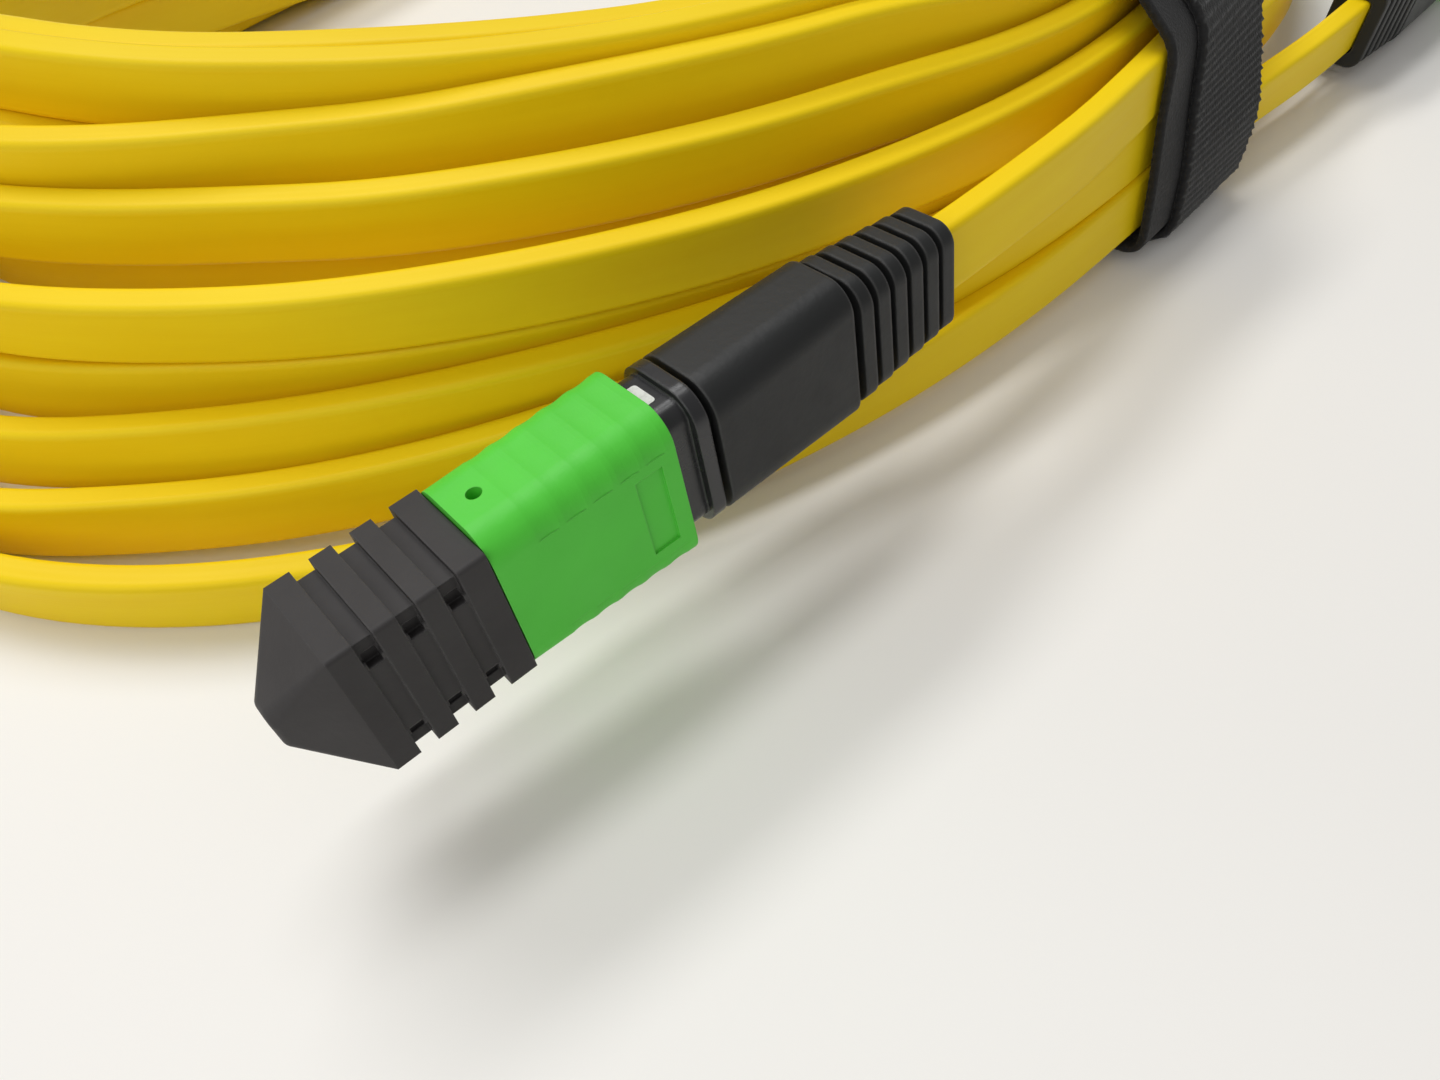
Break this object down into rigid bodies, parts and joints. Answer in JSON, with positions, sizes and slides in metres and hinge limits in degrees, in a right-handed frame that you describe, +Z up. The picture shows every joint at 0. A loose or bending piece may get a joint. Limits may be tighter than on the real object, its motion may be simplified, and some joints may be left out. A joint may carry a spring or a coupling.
{
  "type": "fibre patch cord",
  "caption": "Coiled flat multi-fibre patch cord with capped push-pull plugs, sliding coupling sleeves, ribbed boots and a hook-and-loop tie.",
  "frame": {"origin": "on the table under the middle of the coiled cord's bounding box", "axes": "+X along the coil's long axis towards plug b, +Y across the coil away from the tie, +Z up"},
  "size_m": [0.2368, 0.1358, 0.0365],
  "materials": {
    "cap_black": "satin moulded",
    "sleeve_green": "satin moulded",
    "spring_steel": "drawn wire",
    "housing_green": "moulded",
    "ferrule_black": "fine moulded",
    "spacer_black": "moulded",
    "ribbon_boot_rubber": "soft",
    "rear_black": "satin moulded",
    "crimp_steel": "plated",
    "boot_black": "satin",
    "ribbon_clear": "coated",
    "jacket_yellow": "satin extruded",
    "tie_black": "woven loop"
  },
  "bodies": {
    "cord": {"cord_coil": "jacket_yellow", "cord_tail_a": "jacket_yellow", "cord_tail_b": "jacket_yellow", "tie": "tie_black", "inner_housing_a": "housing_green", "coupling_springs_a": "spring_steel", "ferrule_spring_a": "spring_steel", "rear_body_a": "rear_black", "crimp_ring_a": "crimp_steel", "boot_a": "boot_black", "fibre_ribbon_a": "ribbon_clear", "inner_housing_b": "housing_green", "coupling_springs_b": "spring_steel", "ferrule_spring_b": "spring_steel", "rear_body_b": "rear_black", "crimp_ring_b": "crimp_steel", "boot_b": "boot_black", "fibre_ribbon_b": "ribbon_clear"},
    "cap_a": {"dust_cap_a": "cap_black"},
    "sleeve_a": {"coupling_sleeve_a": "sleeve_green"},
    "ferrule_group_a": {"ferrule_a": "ferrule_black", "ferrule_spacer_a": "spacer_black", "ribbon_boot_a": "ribbon_boot_rubber"},
    "cap_b": {"dust_cap_b": "cap_black"},
    "sleeve_b": {"coupling_sleeve_b": "sleeve_green"},
    "ferrule_group_b": {"ferrule_b": "ferrule_black", "ferrule_spacer_b": "spacer_black", "ribbon_boot_b": "ribbon_boot_rubber"}
  },
  "joints": [
    {"name": "cap_a_pull", "type": "slide", "parent": "cord", "child": "cap_a", "axis": [-0.9968, 0.0583, -0.0549], "range_m": [0, 0.022]},
    {"name": "sleeve_a_slide", "type": "slide", "parent": "cord", "child": "sleeve_a", "axis": [0.9968, -0.0583, 0.0549], "range_m": [0, 0.0016], "stiffness_N_per_m": 1500, "springref_m": -0.0004, "deforming": ["coupling_springs_a"]},
    {"name": "ferrule_a_float", "type": "slide", "parent": "cord", "child": "ferrule_group_a", "axis": [0.9968, -0.0583, 0.0549], "range_m": [0, 0.0008], "stiffness_N_per_m": 4000, "springref_m": -0.0005, "deforming": ["ferrule_spring_a"]},
    {"name": "cap_b_pull", "type": "slide", "parent": "cord", "child": "cap_b", "axis": [0.9986, 0.0523, 0], "range_m": [0, 0.022]},
    {"name": "sleeve_b_slide", "type": "slide", "parent": "cord", "child": "sleeve_b", "axis": [-0.9986, -0.0523, 0], "range_m": [0, 0.0016], "stiffness_N_per_m": 1500, "springref_m": -0.0004, "deforming": ["coupling_springs_b"]},
    {"name": "ferrule_b_float", "type": "slide", "parent": "cord", "child": "ferrule_group_b", "axis": [-0.9986, -0.0523, 0], "range_m": [0, 0.0008], "stiffness_N_per_m": 4000, "springref_m": -0.0005, "deforming": ["ferrule_spring_b"]}
  ]
}
